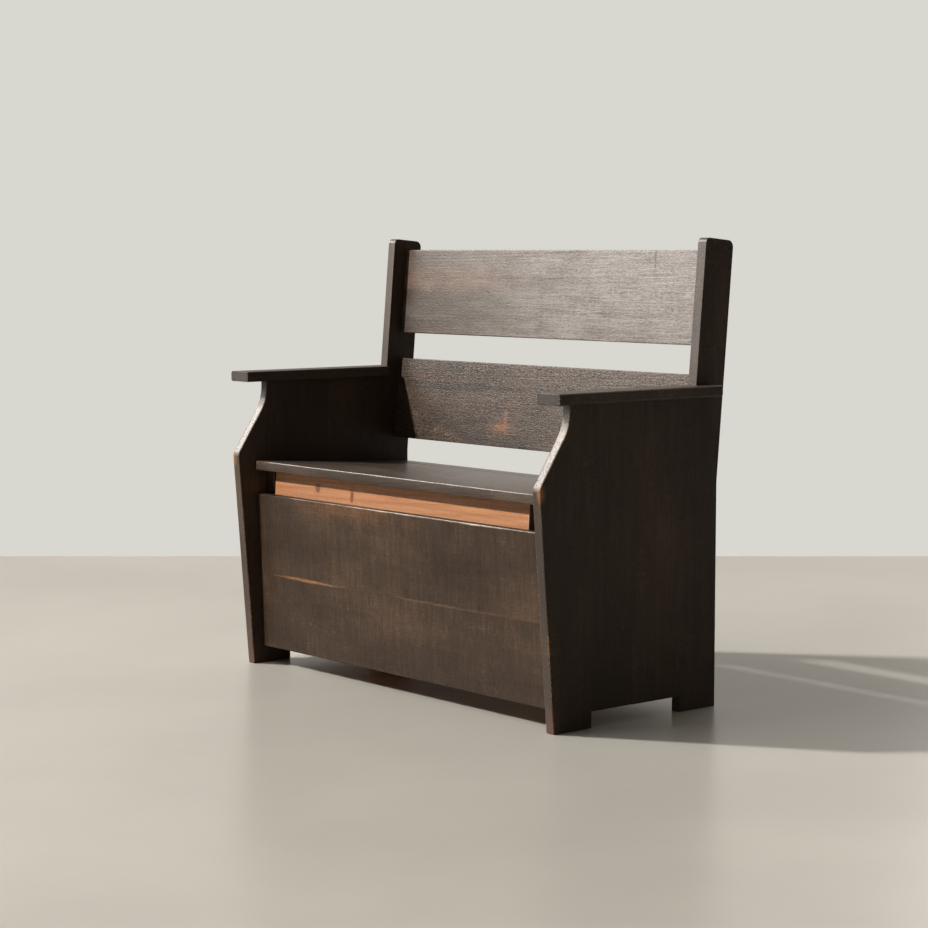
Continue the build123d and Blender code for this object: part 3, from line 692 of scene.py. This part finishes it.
class BENCH_OT_chest(BenchOperator):
    """Chest under the seat: back boards, floor boards, cleats and bearers"""

    bl_idname = "bench.chest"
    bl_label = "Chest"

    def make(self, finish, shape):
        """Eases and finishes the boards of the chest."""
        for half, seed in (("lower", 61.0), ("upper", 63.0)):
            node = f"chest_back_{half}_board"
            low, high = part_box(node)
            pith = (0.0, low.y - 0.06, 0.5 * (low.z + high.z))
            stain = stained_pine(finish, f"{node}_stain", "X", seed, pith, radians(3.0), saw=0.6, rub=0.2)
            finish_board(node, stain, ease=shape.arris)
        for number in (1, 2, 3):
            node = f"chest_floor_board_{number}"
            low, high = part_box(node)
            pith = (0.0, 0.5 * (low.y + high.y), low.z - 0.05)
            pine = fresh_pine(finish, f"{node}_pine", "X", 65.0 + number, pith, radians(3.0))
            finish_board(node, pine, ease=shape.arris)
        rails = fresh_pine(finish, "floor_bearer_pine", "Y", 71.0, (0.1, 0.0, 0.0))
        finish_board("floor_centre_bearer", rails, ease=shape.arris)
        red = (finish.stain_dark, finish.stain_red, finish.bare_wood)
        cleats = stained_pine(finish, "cleat_stain", "Z", 73.0, (0.4, 0.1, 0.2), stain=red, saw=0.2)
        bearers = stained_pine(finish, "seat_bearer_stain", "Y", 79.0, (0.4, 0.0, 0.3), stain=red, saw=0.2)
        for side in SIDES:
            finish_board(f"{side}_floor_bearer", rails, ease=shape.arris)
            finish_board(f"{side}_front_cleat", cleats, ease=shape.arris)
            finish_board(f"{side}_rear_cleat", cleats, ease=shape.arris)
            finish_board(f"{side}_seat_bearer", bearers, ease=shape.arris)


class BENCH_OT_joinery(BenchOperator):
    """Splines and dowels in the joints"""

    bl_idname = "bench.joinery"
    bl_label = "Joinery"

    def make(self, finish, shape):
        """Gives the hidden joints their wood."""
        recipe = Recipe("joint_beech")
        fleck = recipe.noise(recipe.place, 90.0, 700.0, 3.0)
        dark = tuple(0.6 * c for c in finish.beech)
        recipe.feed(recipe.shader.inputs["Base Color"], recipe.mix(recipe.fade(fleck, 0.45, 0.7), finish.beech, dark))
        recipe.shader.inputs["Roughness"].default_value = 0.6
        for side in SIDES:
            paint_node(f"{side}_end_spline", recipe.material)
            paint_node(f"{side}_arm_dowels", recipe.material)


class BENCH_OT_hinges(BenchOperator):
    """Hinges with their pins and screws, and the screws of the battens"""

    bl_idname = "bench.hinges"
    bl_label = "Hinges"

    def make(self, finish, shape):
        """Gives the hardware its steel."""
        black = plain_steel("blackened_steel", finish.hinge_steel, 0.42)
        zinc = plain_steel("zinc_steel", finish.screw_steel, 0.34)
        for place in HINGE_PLACES:
            paint_node(f"{place}_hinge_rail_leaf", black)
            paint_node(f"{place}_hinge_lid_leaf", black)
            paint_node(f"{place}_hinge_pin", zinc)
        for node in ("hinge_rail_screws", "hinge_lid_screws", "lid_batten_screws"):
            paint_node(node, zinc)


# Stage
class BENCH_OT_stage(bpy.types.Operator):
    """Pale floor and backdrop, soft studio light and the camera"""

    bl_idname = "bench.stage"
    bl_label = "Stage"
    bl_options = {"REGISTER", "UNDO"}

    def execute(self, context):
        """Sets the stage."""
        stage = context.scene.bench_stage
        floor = self.lay_floor(stage)
        self.hang_backdrop(context.scene, stage)
        self.set_lights(stage, floor)
        self.set_camera(context.scene, stage)
        context.scene.view_settings.view_transform = "Standard"
        return {"FINISHED"}

    def lay_floor(self, stage):
        """Floor that ends in a straight line behind the bench, square to the camera."""
        bm = bmesh.new()
        bmesh.ops.create_grid(bm, x_segments=1, y_segments=1, size=1.0)
        half_width, half_depth = stage.floor_width / 2, stage.floor_depth / 2
        bmesh.ops.scale(bm, vec=(half_width, half_depth, 1.0), verts=bm.verts)
        bmesh.ops.translate(bm, vec=(0, stage.floor_reach - half_depth, 0), verts=bm.verts)
        bmesh.ops.rotate(bm, cent=(0, 0, 0), matrix=Matrix.Rotation(stage.camera_turn, 3, "Z"), verts=bm.verts)
        bmesh.ops.translate(bm, vec=(stage.camera_place[0], stage.camera_place[1], 0), verts=bm.verts)
        mesh = bpy.data.meshes.new("floor")
        bm.to_mesh(mesh)
        bm.free()
        recipe = Recipe("pale_floor")
        cloud = recipe.noise(recipe.place, 1.3, 1.3, 4.0, 0.55)
        shade = tuple(0.9 * c for c in stage.floor)
        recipe.feed(recipe.shader.inputs["Base Color"], recipe.mix(recipe.fade(cloud, 0.3, 0.7), stage.floor, shade))
        recipe.shader.inputs["Roughness"].default_value = stage.floor_rough
        mesh.materials.append(recipe.material)
        floor = bpy.data.objects.new("floor", mesh)
        bpy.context.scene.collection.objects.link(floor)
        return floor

    def hang_backdrop(self, scene, stage):
        """Plain pale world, brighter to the eye than as a light, whose light is weaker on the dark side."""
        world = bpy.data.worlds.new("studio")
        world.use_nodes = True
        scene.world = world
        nodes, links = world.node_tree.nodes, world.node_tree.links
        seen = nodes["Background"]
        seen.inputs["Color"].default_value = (*stage.wall, 1.0)
        light = nodes.new("ShaderNodeBackground")
        light.inputs["Color"].default_value = (*stage.ambient_colour, 1.0)
        path = nodes.new("ShaderNodeLightPath")
        way = nodes.new("ShaderNodeTexCoord")
        towards = nodes.new("ShaderNodeVectorMath")
        towards.operation = "DOT_PRODUCT"
        towards.inputs[1].default_value = BRIGHT_SIDE
        links.new(way.outputs["Generated"], towards.inputs[0])
        side = nodes.new("ShaderNodeMapRange")
        side.inputs["From Min"].default_value = -BRIGHT_REACH
        side.inputs["From Max"].default_value = BRIGHT_REACH
        side.inputs["To Min"].default_value = stage.ambient_dark
        links.new(towards.outputs["Value"], side.inputs["Value"])
        level = nodes.new("ShaderNodeMath")
        level.operation = "MULTIPLY_ADD"
        level.inputs[1].default_value = stage.ambient_gloss
        level.inputs[2].default_value = stage.ambient
        links.new(path.outputs["Is Glossy Ray"], level.inputs[0])
        strength = nodes.new("ShaderNodeMath")
        strength.operation = "MULTIPLY"
        links.new(side.outputs["Result"], strength.inputs[0])
        links.new(level.outputs["Value"], strength.inputs[1])
        links.new(strength.outputs["Value"], light.inputs["Strength"])
        mix = nodes.new("ShaderNodeMixShader")
        links.new(path.outputs["Is Camera Ray"], mix.inputs["Fac"])
        links.new(light.outputs["Background"], mix.inputs[1])
        links.new(seen.outputs["Background"], mix.inputs[2])
        links.new(mix.outputs["Shader"], nodes["World Output"].inputs["Surface"])

    def set_lights(self, stage, floor):
        """Key on the bench, low light and window on the floor, gloss from the left, weak fill from behind."""
        key = add_sun("key", stage.key, stage.key_turn, stage.key_rise, stage.key_softness)
        link_light(key, floor, "EXCLUDE")
        low_sun = add_sun("low_sun", stage.low_sun, stage.low_sun_turn, stage.low_sun_rise, stage.key_softness)
        link_light(low_sun, floor, "INCLUDE")
        window = add_panel("window", stage.window, place=(-1.2, -2.2, 3.6), size=2.4)
        link_light(window, floor, "INCLUDE")
        glow = add_panel("glow", stage.glow, place=(-1.63, -1.96, 1.27), size=0.9)
        glow.visible_diffuse = False
        sheen = add_panel("sheen", stage.sheen, place=(-3.1, -1.6, 2.9), size=1.8)
        sheen.visible_diffuse = False
        add_panel("back_fill", stage.back_fill, place=(-0.8, 4.5, 2.6), size=3.0)

    def set_camera(self, scene, stage):
        """Camera at the photographed angle."""
        camera = bpy.data.objects.new("camera", bpy.data.cameras.new("camera"))
        scene.collection.objects.link(camera)
        camera.data.lens = stage.lens
        camera.location = stage.camera_place
        camera.rotation_euler = (pi / 2 - stage.camera_dip, 0, stage.camera_turn)
        scene.camera = camera


def add_light(name, kind, strength):
    """New warm white light in the scene, out of the camera's sight."""
    light = bpy.data.objects.new(name, bpy.data.lights.new(name, kind))
    light.data.energy = strength
    light.data.color = bpy.context.scene.bench_stage.light_colour
    light.visible_camera = False
    bpy.context.scene.collection.objects.link(light)
    return light


def add_sun(name, strength, turn, rise, softness):
    """Parallel light from the front, turned to the left and risen above the floor."""
    sun = add_light(name, "SUN", strength)
    sun.data.angle = softness
    sun.rotation_euler = (pi / 2 - rise, 0, -turn)
    return sun


def add_panel(name, strength, place, size):
    """Broad square light at a place, pointed at the middle of the bench."""
    panel = add_light(name, "AREA", strength)
    panel.data.shape = "SQUARE"
    panel.data.size = size
    panel.location = place
    panel.rotation_euler = ((cad_low + cad_high) / 2 - Vector(place)).to_track_quat("-Z", "Y").to_euler()
    return panel


def link_light(light, receiver, state):
    """Gives a light to one object alone, or to all but that one."""
    group = bpy.data.collections.new(f"{light.name}_receivers")
    group.objects.link(receiver)
    light.light_linking.receiver_collection = group
    group.collection_objects[0].light_linking.link_state = state


# Add-on
OPERATORS = (
    BENCH_OT_end_panels,
    BENCH_OT_arms,
    BENCH_OT_back_slats,
    BENCH_OT_front_panel,
    BENCH_OT_seat,
    BENCH_OT_lid_timber,
    BENCH_OT_chest,
    BENCH_OT_joinery,
    BENCH_OT_hinges,
    BENCH_OT_stage,
)
SETTINGS = {"bench_finish": BenchFinish, "bench_shape": BenchShape, "bench_stage": BenchStage}


class BENCH_PT_sidebar(bpy.types.Panel):
    """Operators of the bench"""

    bl_idname = "BENCH_PT_sidebar"
    bl_label = "Deacons Bench"
    bl_space_type = "VIEW_3D"
    bl_region_type = "UI"
    bl_category = "Bench"

    def draw(self, context):
        """Lists the operators and the settings."""
        for operator in OPERATORS:
            self.layout.operator(operator.bl_idname)
        for name, group in SETTINGS.items():
            box = self.layout.box()
            for setting in group.__annotations__:
                box.prop(getattr(context.scene, name), setting)


CLASSES = (*SETTINGS.values(), *OPERATORS, BENCH_PT_sidebar)


def register():
    """Adds the classes and the settings."""
    for cls in CLASSES:
        bpy.utils.register_class(cls)
    for name, group in SETTINGS.items():
        setattr(bpy.types.Scene, name, bpy.props.PointerProperty(type=group))


def unregister():
    """Takes them away again."""
    for name in SETTINGS:
        delattr(bpy.types.Scene, name)
    for cls in reversed(CLASSES):
        bpy.utils.unregister_class(cls)


def main():
    """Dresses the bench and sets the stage."""
    register()
    bpy.ops.bench.end_panels()
    bpy.ops.bench.arms()
    bpy.ops.bench.back_slats()
    bpy.ops.bench.front_panel()
    bpy.ops.bench.seat()
    bpy.ops.bench.lid_timber()
    bpy.ops.bench.chest()
    bpy.ops.bench.joinery()
    bpy.ops.bench.hinges()
    bpy.ops.bench.stage()


if __name__ == "__main__":
    main()
